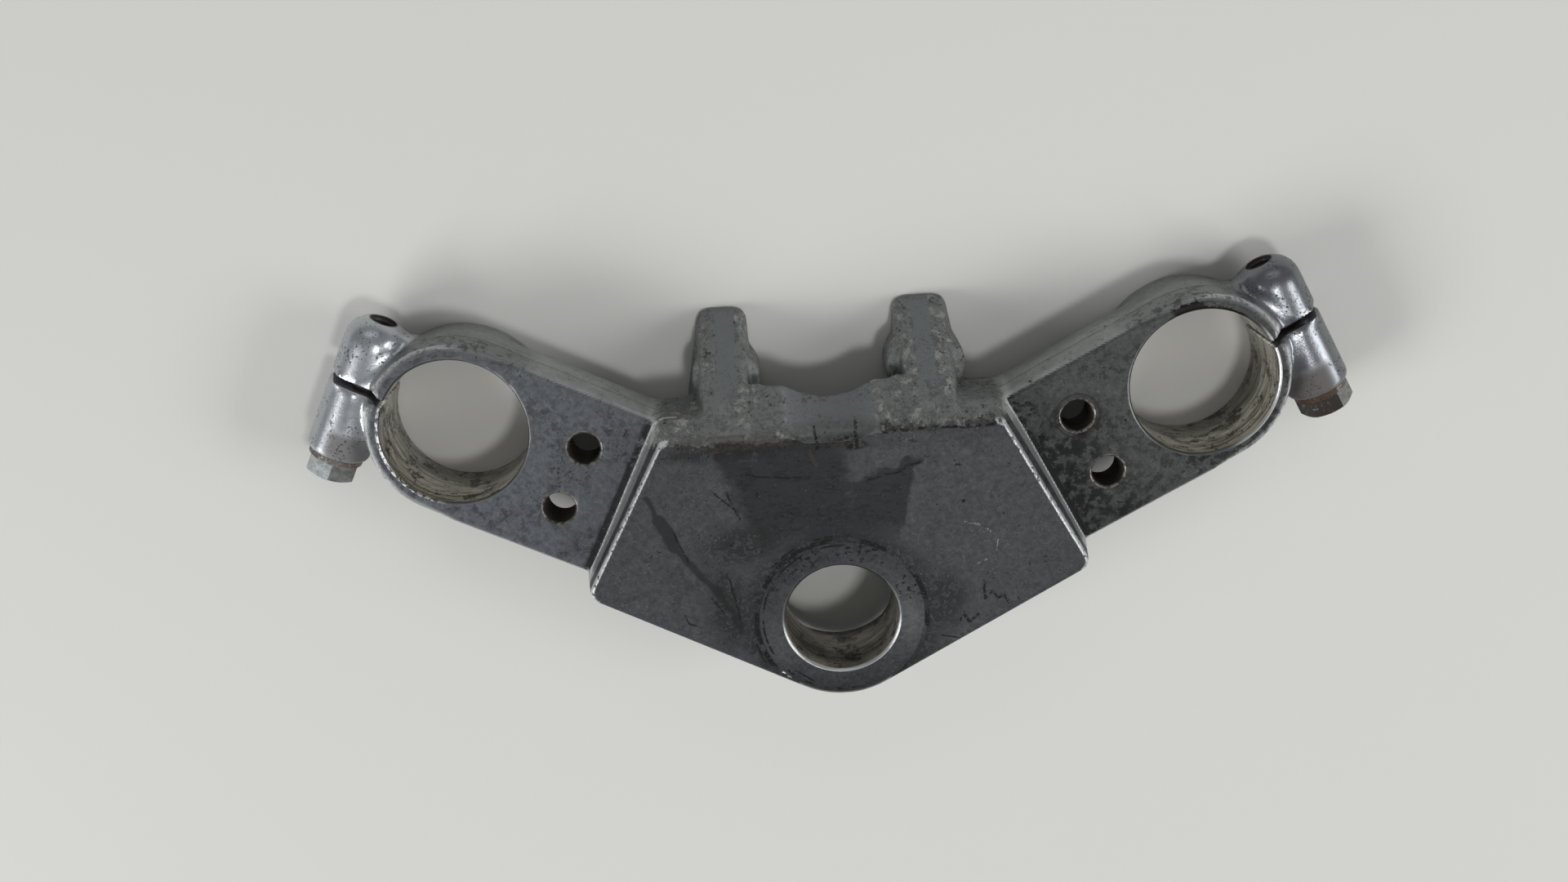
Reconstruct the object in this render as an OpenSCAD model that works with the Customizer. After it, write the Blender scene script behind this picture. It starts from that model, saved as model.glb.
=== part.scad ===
// Upper triple clamp of a motorcycle fork: one cast aluminium yoke that ties the two
// fork tubes to the steering stem, with a pinch bolt and a washer at each fork clamp.
// The origin is on the steering stem axis, at the underside of the stem boss, which is
// also half way up the fork clamps. +Y points to the front of the motorcycle, +Z up.

/* [Layout] */
// Distance between the two fork tube axes
fork_span = 206; // [190:1:225]
// Distance of the fork axes ahead of the steering stem axis
fork_lead = 59.5; // [50:0.5:68]
// Forward sweep of each arm from straight across
arm_angle = 27; // [22:0.5:31]

/* [Fork clamps] */
// Diameter of the fork tube bore
fork_d = 41; // [37:0.5:43]
// Height of the clamp ring, along the fork tube
ring_h = 25; // [22:0.5:32]
// Thickness of the clamp ring's wall at its top
ring_wall = 4.3; // [3.5:0.1:7]
// How much wider the ring and the arm are at the parting line than at the top
draft = 0.9; // [0.3:0.1:1.6]
// Height of the parting line above the middle of the ring
parting_up = 1.5; // [-2:0.5:4]
// Bevel at both mouths of the fork bore
fork_bevel = 0.6; // [0.3:0.1:1.2]
// Rounding of the ring's and the arm's upper edge, drawn as a bevel
top_edge = 0.6; // [0.3:0.1:1.2]

/* [Pinch bosses] */
// Diameter of the boss that holds the pinch bolt
pinch_d = 17.6; // [16:0.2:20]
// Metal between the fork bore and the pinch bolt's hole
pinch_web = 4.25; // [3.2:0.05:8]
// Length of the boss from the slit to its threaded end
pinch_front = 19; // [17:0.2:24]
// Length of the boss from the slit to the bolt's seat
pinch_back = 22.6; // [19:0.2:26]
// Rounding of the boss at its threaded end
pinch_dome = 7.4; // [2:0.1:8]
// Rounding of the boss at the bolt's seat
pinch_shoulder = 1.2; // [0.3:0.1:1.4]
// Bevel at the mouth of the tapped hole
pinch_bevel = 0.6; // [0.2:0.1:1.2]
// Radius of the fillet between the ring and the boss's threaded end
pinch_fillet_r = 5; // [3:0.5:6]
// Height of that fillet
pinch_fillet_h = 8; // [4:0.5:9]
// Width of the slit through the clamp ring and the boss
slit_w = 2.2; // [1.4:0.1:3]

/* [Arms] */
// Thickness of the arm, down from the top of the rings
arm_h = 18; // [15:0.5:20]
// Thickness of the arm's plate above its hollow underside
arm_plate = 7; // [5:0.5:9]
// Thickness of the arm's and the deck's side walls
wall = 6; // [4.5:0.5:8]
// Distance of the handlebar bolt holes from the fork axis, along the arm
bar_hole_in = 34.4; // [33:0.2:37]
// Distance between the two handlebar bolt holes of one arm
bar_hole_gap = 19; // [17:0.5:24]
// Diameter of a handlebar bolt hole
bar_hole_d = 8.9; // [7:0.1:10.4]
// Length of a handlebar bolt hole
bar_hole_len = 12; // [10:0.5:14]
// Metal round a handlebar bolt hole under the arm
bar_hole_wall = 3.2; // [2.5:0.1:4.5]
// Bevel at the upper mouth of a handlebar bolt hole
bar_hole_bevel = 0.6; // [0.2:0.1:1.2]

/* [Deck] */
// Height of the raised deck above the arms
deck_rise = 9; // [6:0.5:12]
// Distance from the fork axis to the foot of the deck's side, along the arm
deck_from_fork = 49.4; // [47:0.2:53]
// How far the deck's side leans in from its foot to its top, at the front
deck_lean_front = 2.9; // [1.5:0.1:5]
// How far the deck's side leans in from its foot to its top, at the rear
deck_lean_rear = 1.4; // [0.5:0.1:5]
// Rounding of the deck's upper edge
deck_edge = 1.2; // [0.5:0.1:2]
// Rounding of the deck's rear corners
deck_corner = 3; // [2:0.2:6]
// Slope of the deck's rear edges, which run to the nose
tail_angle = 28.6; // [26:0.2:33]
// Thickness of the deck's plate above its hollow underside
deck_plate = 7; // [5:0.5:10]
// How much lower the deck's skirt reaches than the arms
deck_skirt = 0.4; // [0.3:0.1:1.5]
// Thickness of the ribs under the deck
rib_w = 5; // [3:0.5:7]

/* [Steering stem] */
// Diameter of the steering stem bore
stem_d = 32; // [28:0.5:34]
// Radius of the nose round the steering stem
nose_r = 24.2; // [23.6:0.1:27]
// Radius of the machined seat for the stem nut
seat_r = 23.2; // [20:0.1:23.4]
// Depth of the machined seat
seat_depth = 0.4; // [0.2:0.1:1]
// Bevel at the upper mouth of the stem bore
stem_bevel = 0.7; // [0.3:0.1:1.5]
// Outer radius of the collar below the stem boss, which shrouds the steering bearing
collar_r = 23.2; // [22:0.1:23.6]
// Wall of that collar
collar_wall = 3.2; // [2.5:0.1:4]
// Depth of that collar below the stem boss
collar_h = 11.5; // [8:0.5:12]

/* [Front face and switch legs] */
// Distance of the front face's upper edge from the stem axis
face_y = 54.4; // [50:0.2:56]
// Slope of the front face below level
face_angle = 48.5; // [46:0.5:52]
// Distance of the deck's front wall, beside the legs, from the stem axis
shoulder_y = 60; // [58:0.5:62]
// Distance of the front edge between the legs from the stem axis
shelf_y = 65.6; // [64:0.2:68]
// Thickness of the lower edge between the legs
shelf_lip = 1.2; // [0.8:0.1:4]
// Rounding of the shelf's edge into the roots of the legs
shelf_corner = 4; // [2:0.5:6]
// Metal behind the slanting front face
face_wall = 8; // [6.5:0.5:10]
// Distance of the leg tips from the stem axis
leg_tip_y = 83.6; // [80:0.2:86]
// Half distance between the legs at their tips
leg_tip_in = 21.5; // [20.6:0.1:23]
// Width of a leg at its tip
leg_tip_w = 13.5; // [11:0.5:15]
// Half distance between the legs at their roots
leg_root_in = 20; // [19:0.1:20.4]
// Width of a leg at its root
leg_root_w = 19.6; // [17:0.2:21]
// How much further in the right-hand leg's inner flank stands
leg_right_more = 1.6; // [0:0.1:2]
// Rounding of a leg's corners at its tip
leg_corner = 3; // [1.5:0.5:4]
// Width of the flat strip along a leg
leg_flat_w = 9.5; // [7:0.5:10.5]
// Rounding of the flat strip's corners
leg_flat_corner = 2; // [1:0.5:3]
// Height of the legs' flat strip above the front face
leg_proud = 0.8; // [0.4:0.1:1.4]
// Half distance between the switch bolt holes
switch_hole_x = 28; // [27:0.5:29]
// Distance of the switch bolt holes from the stem axis
switch_hole_y = 66; // [64:0.5:69]
// Diameter of a switch bolt hole
switch_hole_d = 6.8; // [5:0.1:8.6]
// Depth of a switch bolt hole
switch_hole_depth = 14; // [8:0.5:16]
// Metal round a switch bolt hole
switch_hole_wall = 6.2; // [5.6:0.1:6.6]
// Width of the saddle that clears the switch
saddle_w = 24.6; // [20:0.2:28]
// Depth of the saddle along its two sides, at the front edge
saddle_side = 0.6; // [0.3:0.1:1]
// How much deeper the middle of the saddle is than its sides
saddle_sag = 2.8; // [1.5:0.1:3.5]
// Rounding of the saddle's upper corners
saddle_corner = 6; // [3:0.5:9]
// How far the saddle runs back past the face's upper edge, along the slope
saddle_back = 0.8; // [0:0.1:2]
// How much steeper the saddle's floor is than the front face
saddle_steeper = 2.5; // [0:0.5:5]

/* [Bolts and washers] */
// Diameter of the pinch bolt's plain shank
bolt_d = 8; // [6:0.1:8.4]
// Length of the pinch bolt under its head
bolt_len = 36; // [33:0.5:40]
// Length of the bolt's plain shank
bolt_shank = 18; // [12:0.5:22]
// Depth of the bolt's thread, so that its flanks are drawn at mid height
thread_depth = 0.8; // [0.4:0.1:1.2]
// Width of the bolt head across its flats
head_af = 13; // [11:0.1:14]
// Height of the bolt head
head_h = 5.5; // [4:0.1:7]
// Angle of the left-hand bolt's head, as it was tightened
head_left_angle = 22; // [0:1:59]
// Angle of the right-hand bolt's head, as it was tightened
head_right_angle = 47; // [0:1:59]
// Bevel that rounds off the head's corners
head_bevel = 0.9; // [0.4:0.1:1.4]
// Outer diameter of the washer
washer_d = 15; // [14:0.1:15.2]
// Thickness of the washer
washer_h = 1.6; // [1:0.1:2.5]
// Play between the bolt and its hole or washer, all round
bolt_play = 0.25; // [0.1:0.05:0.4]
// Play between the bolt's thread and the tapped hole, all round
thread_play = 0.05; // [0.02:0.01:0.15]

/* [Hidden] */
$fn = 96;
over = 1;        // how far a cut runs past the metal
slice = 0.1;     // thickness of the slices that a blend is stretched over

fork_r = fork_d / 2;
ring_r = fork_r + ring_wall;
rim_z = ring_h / 2;
floor_z = -rim_z;
arm_low = rim_z - arm_h;
deck_low = arm_low - deck_skirt;
top_z = rim_z + deck_rise;
fork_at = [fork_span / 2, fork_lead];
along = [cos(arm_angle), sin(arm_angle)];
tail = [sin(tail_angle), -cos(tail_angle)];

bolt_hole_r = bolt_d / 2 + bolt_play;
thread_r = (bolt_d - thread_depth) / 2;
pinch_x = fork_r + pinch_web + bolt_hole_r;
seat_y = -pinch_back;
head_y = seat_y - washer_h;

shelf_z = top_z - (shelf_y - face_y) * tan(face_angle);
saddle_r = (pow(saddle_w / 2, 2) + pow(saddle_sag, 2)) / (2 * saddle_sag);

// Points of an arc
function arc(at, r, from, to, steps) =
    [for (i = [0:steps]) let (a = from + (to - from) * i / steps) at + r * [cos(a), sin(a)]];

function unit(v) = v / norm(v);

// Points that round corner b, between its neighbours a and c
function round_corner(a, b, c, r, steps = 6) =
    let (
        p = unit(a - b), q = unit(c - b), half = acos(p * q) / 2,
        mid = b + unit(p + q) * r / sin(half),
        s = b + p * r / tan(half) - mid, e = b + q * r / tan(half) - mid,
        from = atan2(s.y, s.x), turn = atan2(s.x * e.y - s.y * e.x, s * e)
    ) arc(mid, r, from, from + turn, steps);

// The point where two lines cross; each is a normal and its distance from the origin
function crossing(n1, d1, n2, d2) =
    let (det = n1.x * n2.y - n1.y * n2.x)
    [(d1 * n2.y - d2 * n1.y) / det, (n1.x * d2 - n2.x * d1) / det];

// A half outline from front to back, completed by its mirror image
function both_halves(right) =
    concat(right, [for (i = [len(right) - 1:-1:0]) if (right[i].x > slice) [-right[i].x, right[i].y]]);

// The line through two points, as its normal and its distance from the origin
function line_through(p, q) = let (n = unit([q.y - p.y, p.x - q.x])) [n, n * p];

// A point given in the arm's own frame: x outwards along the arm, y forwards
function arm_point(p) = fork_at + [p.x * along.x - p.y * along.y, p.x * along.y + p.y * along.x];

// The deck seen from above, drawn in by inset all round; share is how much of its lean it has
function deck_outline(inset, share) =
    let (
        foot = -deck_from_fork - inset,
        side = line_through(
            arm_point([foot - share * deck_lean_rear, -ring_r]),
            arm_point([foot - share * deck_lean_front, ring_r])),
        front = crossing(side[0], side[1], [0, 1], shoulder_y - inset),
        rear = crossing(side[0], side[1], tail, nose_r - inset),
        nose = (nose_r - inset) * tail
    ) both_halves(concat(
        round_corner([0, shoulder_y - inset], front, rear, deck_corner),
        round_corner(front, rear, nose, deck_corner),
        arc([0, 0], nose_r - inset, tail_angle - 90, -90, 6)));

// Sides of the ring and the arm from the top down to low: half a section
function flank(low) = [
    [ring_r - top_edge, rim_z], [ring_r, rim_z - top_edge],
    [ring_r + draft, parting_up], [ring_r + draft * (low + rim_z) / ring_h, low]];

module both_sides() {
    children();
    mirror([1, 0, 0]) children();
}

// The arm's own frame: fork axis at the origin, x outwards along the arm, y forwards
module arm_frame() {
    translate([fork_at.x, fork_at.y, 0]) rotate([0, 0, arm_angle]) children();
}

// The pinch bolt's own frame: z forwards along the bolt, origin in the slit
module pinch_frame() {
    arm_frame() translate([pinch_x, 0, 0]) rotate([-90, 0, 0]) children();
}

// The front face's own frame: y down the slope from its upper edge, z out of the metal
module face_frame() {
    translate([0, face_y, top_z]) rotate([-face_angle, 0, 0]) children();
}

module fork_ring() {
    side = flank(floor_z);
    rotate_extrude() polygon(concat([[0, floor_z], [0, rim_z]], side));
}

module arm_bar() {
    side = flank(arm_low);
    length = deck_from_fork + wall / 2;
    other = [for (i = [len(side) - 1:-1:0]) [-side[i].x, side[i].y]];
    translate([-length, 0, 0]) rotate([90, 0, 90])
        linear_extrude(length) polygon(concat(side, other));
}

// Hollow under the arm, between the ring and the deck, round its two hole bosses
module arm_hollow() {
    inner = deck_from_fork - wall / 2;
    outer = ring_r + wall / 2;
    half = ring_r - wall;
    difference() {
        translate([-inner, -half, arm_low - over])
            cube([inner - outer, 2 * half, arm_h - arm_plate + over]);
        bar_holes(bar_hole_d / 2 + bar_hole_wall, rim_z - bar_hole_len);
    }
}

// Cylinders at the two handlebar holes, from low to the top of the arm
module bar_holes(r, low) {
    for (side = [-1, 1])
        translate([-bar_hole_in, side * bar_hole_gap / 2, low]) cylinder(r = r, h = rim_z + over - low);
}

module bar_hole_bevels() {
    for (side = [-1, 1])
        translate([-bar_hole_in, side * bar_hole_gap / 2, rim_z - bar_hole_bevel])
            cylinder(r1 = bar_hole_d / 2, r2 = bar_hole_d / 2 + 2 * bar_hole_bevel, h = 2 * bar_hole_bevel);
}

// Boss for the pinch bolt, rounded at its threaded end and flat at the bolt's seat
module pinch_boss() {
    r = pinch_d / 2;
    pinch_frame() rotate_extrude() polygon(concat(
        [[0, -pinch_back]],
        arc([r - pinch_shoulder, pinch_shoulder - pinch_back], pinch_shoulder, -90, 0, 4),
        arc([r - pinch_dome, pinch_front - pinch_dome], pinch_dome, 0, 90, 10),
        [[0, pinch_front]]));
}

// Fillet between the ring and the boss's threaded end, hollowed by a cylinder that
// reaches a little into both
module pinch_fillet() {
    dome = [pinch_x - pinch_d / 2 + pinch_dome, pinch_front - pinch_dome];
    to_ring = ring_r + draft + pinch_fillet_r - slice;
    to_dome = pinch_dome + pinch_fillet_r - slice;
    out = (pow(to_ring, 2) - pow(to_dome, 2) + dome * dome) / (2 * norm(dome));
    hollow = out * unit(dome) + sqrt(pow(to_ring, 2) - out * out) * unit([-dome.y, dome.x]);
    arm_frame() translate([0, 0, -pinch_fillet_h / 2]) difference() {
        linear_extrude(pinch_fillet_h) polygon([[0, 0], dome, hollow]);
        translate([hollow.x, hollow.y, -over]) cylinder(r = pinch_fillet_r, h = pinch_fillet_h + 2 * over);
    }
}

// The deck's block with its leaning sides and rounded upper edge, before it is hollowed
module deck_block() {
    below = over / (deck_rise - deck_edge);
    lofted(
        concat([deck_low, rim_z - over], [for (a = [0:30:90]) top_z - deck_edge * (1 - sin(a))]),
        concat(
            [deck_outline(0, -below), deck_outline(0, -below)],
            [for (a = [0:30:90]) deck_outline(deck_edge * (1 - cos(a)), 1)]));
}

// A solid through a stack of outlines with the same number of points, from the bottom up
module lofted(levels, outlines) {
    n = len(outlines[0]);
    last = len(levels) - 1;
    polyhedron(
        [for (k = [0:last]) for (p = outlines[k]) [p.x, p.y, levels[k]]],
        concat(
            [[for (i = [n - 1:-1:0]) i]],
            [for (k = [0:last - 1]) for (i = [0:n - 1]) let (j = (i + 1) % n)
                [k * n + i, k * n + j, k * n + n + j]],
            [for (k = [0:last - 1]) for (i = [0:n - 1]) let (j = (i + 1) % n)
                [k * n + i, k * n + n + j, k * n + n + i]],
            [[for (i = [0:n - 1]) last * n + i]]));
}

// All that lies in front of the slanting face, set back into the metal by depth
module before_face(depth) {
    face_frame() translate([-fork_span / 2, -fork_span / 2, -depth]) cube(fork_span);
}

// Hollow under the deck, round the stem boss and the ribs
module deck_hollow() {
    difference() {
        translate([0, 0, deck_low - over]) linear_extrude(top_z - deck_plate - deck_low + over)
            polygon(deck_outline(wall, 1));
        before_face(face_wall);
        cylinder(r = nose_r - slice, h = top_z);
        deck_ribs();
    }
}

// Ribs from the stem boss to the front wall and to the roots of the legs
module deck_ribs() {
    translate([-rib_w / 2, 0, 0]) cube([rib_w, shoulder_y, top_z - over]);
    both_sides() rotate([0, 0, -atan(switch_hole_x / switch_hole_y)])
        translate([-rib_w / 2, 0, arm_low + over]) cube([rib_w, shoulder_y, top_z - arm_low - 2 * over]);
}

// Front edge between the legs, rounded into their roots
module shelf() {
    edge = both_halves(concat(
        round_corner([0, shelf_y], [leg_tip_in - leg_right_more, shelf_y],
            [leg_tip_in - leg_right_more, leg_tip_y], shelf_corner),
        [[leg_root_in + wall, shelf_y + shelf_corner], [leg_root_in + wall, face_y - face_wall]]));
    translate([0, 0, shelf_z - shelf_lip])
        linear_extrude(top_z - shelf_z + shelf_lip) polygon(edge);
}

// One leg that carries the ignition switch: a sloping flat strip that widens to its foot.
// Its inner flank stands further in by more.
module leg(more) {
    tip_in = leg_tip_in - more;
    root_in = leg_root_in - more;
    tip_out = leg_tip_in + leg_tip_w;
    root_out = leg_root_in + leg_root_w;
    back = face_y - wall;
    foot = concat(
        [[root_in, back]],
        round_corner([root_in, back], [tip_in, leg_tip_y], [tip_out, leg_tip_y], leg_corner),
        round_corner([tip_in, leg_tip_y], [tip_out, leg_tip_y], [root_out, shoulder_y], leg_corner),
        [[root_out, shoulder_y], [root_out, back]]);
    flat_in = leg_tip_in + (leg_tip_w - leg_flat_w) / 2;
    flat_out = flat_in + leg_flat_w;
    flat_len = (leg_tip_y - face_y - over) / cos(face_angle);
    strip = concat(
        [[flat_in - over, 2 * over]],
        round_corner([flat_in - over, 0], [flat_in, flat_len], [flat_out, flat_len], leg_flat_corner),
        round_corner([flat_in, flat_len], [flat_out, flat_len], [flat_out, 0], leg_flat_corner),
        [[flat_out + over, 2 * over]]);
    hull() {
        translate([0, 0, floor_z]) linear_extrude(over) polygon(foot);
        face_frame() translate([0, 0, leg_proud - slice]) linear_extrude(slice) polygon(strip);
    }
}

// Round boss in the leg's root, for the bolt that holds the switch from below
module switch_boss(more) {
    difference() {
        translate([switch_hole_x, switch_hole_y, floor_z])
            cylinder(r = switch_hole_d / 2 + switch_hole_wall + more, h = switch_hole_depth);
        before_face(leg_proud);
    }
}

// Concave saddle down the front face, which clears the barrel of the switch: its sides
// and its rounded upper end are square to the face, and its floor is part of a cylinder
module saddle() {
    half = saddle_w / 2;
    length = fork_span / 4;
    mouth = (shelf_y - face_y) / cos(face_angle);
    deep = saddle_side + saddle_sag;
    outline = both_halves(concat(
        [[0, -saddle_back]],
        round_corner([0, -saddle_back], [half, -saddle_back], [half, mouth], saddle_corner),
        [[half, length]]));
    face_frame() intersection() {
        translate([0, 0, -2 * deep]) linear_extrude(4 * deep) polygon(outline);
        translate([0, mouth, saddle_r - deep]) rotate([saddle_steeper + 90, 0, 0])
            translate([0, 0, -length]) cylinder(r = saddle_r, h = 2 * length);
    }
}

// The clear space behind the saddle, where the switch's barrel passes below the deck
module switch_window() {
    translate([-leg_root_in + rib_w / 2, switch_hole_y - shelf_y + face_y - face_wall, arm_low - over])
        cube([2 * leg_root_in - rib_w, shelf_y, shelf_z - shelf_lip - arm_low + over]);
}

module fork_bore() {
    translate([0, 0, floor_z - over]) cylinder(r = fork_r, h = ring_h + 2 * over);
    for (end = [0, 1]) mirror([0, 0, end]) translate([0, 0, rim_z - fork_bevel])
        cylinder(r1 = fork_r, r2 = fork_r + 2 * fork_bevel, h = 2 * fork_bevel);
}

// Hole for the pinch bolt: clear behind the slit, tapped in front of it
module pinch_hole() {
    pinch_frame() {
        translate([0, 0, -pinch_back - over]) cylinder(r = bolt_hole_r, h = pinch_back + over);
        cylinder(r = thread_r + thread_play, h = pinch_front + over);
        translate([0, 0, pinch_front - pinch_bevel]) cylinder(
            r1 = thread_r + thread_play, r2 = thread_r + thread_play + 2 * pinch_bevel, h = 2 * pinch_bevel);
    }
}

module stem_bore() {
    seat_z = top_z - seat_depth;
    translate([0, 0, -over]) cylinder(r = stem_d / 2, h = top_z + 2 * over);
    translate([0, 0, seat_z - stem_bevel])
        cylinder(r1 = stem_d / 2, r2 = stem_d / 2 + 2 * stem_bevel, h = 2 * stem_bevel);
    translate([0, 0, seat_z]) cylinder(r = seat_r, h = seat_depth + over);
    translate([0, 0, -collar_h - over]) cylinder(r = collar_r - collar_wall, h = collar_h + over);
}

module clamp_casting() {
    color([0.42, 0.44, 0.47]) difference() {
        union() {
            difference() {
                union() {
                    deck_block();
                    shelf();
                }
                before_face(0);
                deck_hollow();
                switch_window();
            }
            both_sides() {
                difference() {
                    arm_frame() {
                        fork_ring();
                        arm_bar();
                    }
                    deck_hollow();
                }
                pinch_boss();
                pinch_fillet();
            }
            translate([0, 0, -collar_h]) cylinder(r = collar_r, h = collar_h + over);
            leg(leg_right_more);
            switch_boss(leg_right_more);
            mirror([1, 0, 0]) {
                leg(0);
                switch_boss(0);
            }
        }
        both_sides() {
            arm_frame() {
                arm_hollow();
                bar_holes(bar_hole_d / 2, arm_low - over);
                bar_hole_bevels();
                fork_bore();
                translate([0, -slit_w / 2, floor_z - over])
                    cube([pinch_x + pinch_d, slit_w, ring_h + 2 * over]);
            }
            pinch_hole();
            translate([switch_hole_x, switch_hole_y, floor_z - over])
                cylinder(d = switch_hole_d, h = switch_hole_depth + over);
        }
        stem_bore();
        saddle();
    }
}

// Hexagon bolt: bevelled head on the washer, plain shank, then the thread
module pinch_bolt(turn) {
    head_r = head_af / 2 / cos(30);
    thread_end = bolt_len + head_y;
    color([0.62, 0.63, 0.64]) pinch_frame() rotate([0, 0, turn]) {
        intersection() {
            translate([0, 0, head_y - head_h]) cylinder(r = head_r, h = head_h, $fn = 6);
            translate([0, 0, head_y]) rotate([180, 0, 0]) rotate_extrude() polygon([
                [0, 0], [head_r, 0], [head_r, head_h - head_bevel],
                [head_r - 2 * head_bevel, head_h], [0, head_h]]);
        }
        translate([0, 0, head_y]) cylinder(r = bolt_d / 2, h = bolt_shank);
        translate([0, 0, head_y]) cylinder(r = thread_r, h = bolt_len - thread_depth);
        translate([0, 0, thread_end - thread_depth])
            cylinder(r1 = thread_r, r2 = thread_r - thread_depth, h = thread_depth);
    }
}

module washer() {
    color([0.7, 0.7, 0.69]) pinch_frame() translate([0, 0, head_y]) difference() {
        cylinder(d = washer_d, h = washer_h);
        translate([0, 0, -over]) cylinder(r = bolt_hole_r, h = washer_h + 2 * over);
    }
}

module pinch_bolt_left() { mirror([1, 0, 0]) pinch_bolt(head_left_angle); }
module pinch_bolt_right() { pinch_bolt(head_right_angle); }
module washer_left() { mirror([1, 0, 0]) washer(); }
module washer_right() { washer(); }

clamp_casting();
pinch_bolt_left();
pinch_bolt_right();
washer_left();
washer_right();
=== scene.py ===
"""A motorcycle's upper triple clamp: worn silver-grey casting with two pinch bolts and washers."""
import math

import bmesh
import bpy
import numpy as np
from mathutils import Matrix, Vector


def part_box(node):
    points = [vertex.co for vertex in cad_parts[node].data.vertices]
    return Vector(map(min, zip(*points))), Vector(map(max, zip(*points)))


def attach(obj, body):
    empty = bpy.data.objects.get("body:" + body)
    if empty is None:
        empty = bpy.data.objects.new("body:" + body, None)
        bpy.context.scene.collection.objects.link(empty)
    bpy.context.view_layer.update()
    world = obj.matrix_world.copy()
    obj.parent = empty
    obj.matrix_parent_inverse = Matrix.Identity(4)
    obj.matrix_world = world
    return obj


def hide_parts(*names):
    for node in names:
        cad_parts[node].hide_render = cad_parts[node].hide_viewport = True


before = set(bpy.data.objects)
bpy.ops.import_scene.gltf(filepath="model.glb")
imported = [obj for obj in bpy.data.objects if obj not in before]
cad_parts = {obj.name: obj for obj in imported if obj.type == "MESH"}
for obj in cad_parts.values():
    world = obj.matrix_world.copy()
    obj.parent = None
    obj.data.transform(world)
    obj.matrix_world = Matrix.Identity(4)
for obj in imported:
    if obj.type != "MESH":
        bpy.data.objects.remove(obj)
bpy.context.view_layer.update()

# The photographer's view: a little in front of the clamp and 39 cm above it, looking steeply
# down. The camera's place and turn were fitted to the photograph; the lens is that of a phone.
CAMERA_AT = Vector((-0.0142, 0.1801, 0.3875))
CAMERA_LOOK = Vector((0.003, -0.326, -0.945)).normalized()
CAMERA_UP = Vector((0.067, 0.943, -0.326))

camera_data = bpy.data.cameras.new("photo_camera")
camera_data.lens = 33.08
camera_data.sensor_width = 36
camera_data.clip_start = 0.01
camera = bpy.data.objects.new("photo_camera", camera_data)
camera_right = CAMERA_LOOK.cross(CAMERA_UP).normalized()
camera_turn = Matrix((camera_right, camera_right.cross(CAMERA_LOOK), -CAMERA_LOOK)).transposed()
camera.matrix_world = Matrix.Translation(CAMERA_AT) @ camera_turn.to_4x4()
bpy.context.scene.collection.objects.link(camera)
bpy.context.scene.camera = camera
bpy.context.scene.view_settings.view_transform = "Standard"

# The casting: one piece of gravity-cast aluminium. It leaves its mould with small rounds in all
# its corners and a grainy skin, so the body here is the CAD solid with its machined holes filled
# up, remeshed in small cells and relaxed. Lengths are in metres.
FORK_AT = Vector((0.103, 0.0595, 0))
FORK_R = 0.0205
ARM_TURN = math.radians(27)
ARM_OUT = Vector((math.cos(ARM_TURN), math.sin(ARM_TURN), 0))
ARM_AHEAD = Vector((-ARM_OUT.y, ARM_OUT.x, 0))
FLOOR_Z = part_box("clamp_casting")[0].z
RIM_Z = -FLOOR_Z
TOP_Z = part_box("clamp_casting")[1].z
STEM_R = 0.016
SEAT_R = 0.0232
HOLE_R = 0.00445
HOLE_U = -0.0344
HOLE_V = 0.0095
HOLE_LOW = RIM_Z - 0.012
PINCH_U = 0.029
PINCH_FRONT = 0.019
PINCH_BACK = 0.0226
DOME_R = 0.0074
DOME_FLAT_R = 0.0014
DOME_TURNS = (25, 20, 15, 10, 5, 0)
PLUG_WALL = 0.0012
SEAT_PLUG_WALL = 0.0002
SEAT_PLUG_DEPTH = 0.003
SLIT_PLUG_U = 0.0275
SLIT_PLUG_SIZE = (0.0158, 0.0030, 0.0150)
CELL = 0.00055
RELAX_ROUNDS = 9
ROUNDER_ROUNDS = 45
RELAX_SHARE = 0.5
MOST_TRIANGLES = 150000


def arm_place(u, v, z, side):
    """A point given in the arm's own directions: u outwards, v forwards, from the fork's axis."""
    at = FORK_AT + u * ARM_OUT + v * ARM_AHEAD + Vector((0, 0, z))
    return Vector((side * at.x, at.y, at.z))


def pinch_line(side):
    """Where the pinch bolt's line crosses the slit, and the way the line runs."""
    at = arm_place(PINCH_U, 0, 0, side)
    return {"at": at, "axis": arm_place(PINCH_U, 1, 0, side) - at}


def new_object(name, mesh):
    made = bpy.data.objects.new(name, mesh)
    bpy.context.scene.collection.objects.link(made)
    return made


def turned(name, outline, at=Vector(), axis=Vector((0, 0, 1)), steps=96):
    """A closed solid turned about an axis from an outline of (radius, height) points."""
    work = bmesh.new()
    rings = []
    for radius, height in outline:
        if radius < 1e-7:
            rings.append([work.verts.new((0, 0, height))])
            continue
        angles = [2 * math.pi * i / steps for i in range(steps)]
        corners = [(radius * math.cos(angle), radius * math.sin(angle), height) for angle in angles]
        rings.append([work.verts.new(corner) for corner in corners])
    for low, high in zip(rings, rings[1:]):
        for i in range(steps):
            j = (i + 1) % steps
            corners = [low[i % len(low)], low[j % len(low)], high[j % len(high)], high[i % len(high)]]
            work.faces.new(list(dict.fromkeys(corners)))
    bmesh.ops.recalc_face_normals(work, faces=work.faces)
    mesh = bpy.data.meshes.new(name)
    work.to_mesh(mesh)
    work.free()
    mesh.transform(Matrix.Translation(at) @ axis.to_track_quat("Z", "Y").to_matrix().to_4x4())
    return mesh


def plug(radius, low, high, at):
    return turned("plug", [(0, low), (radius, low), (radius, high), (0, high)], at=Vector(at))


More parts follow.
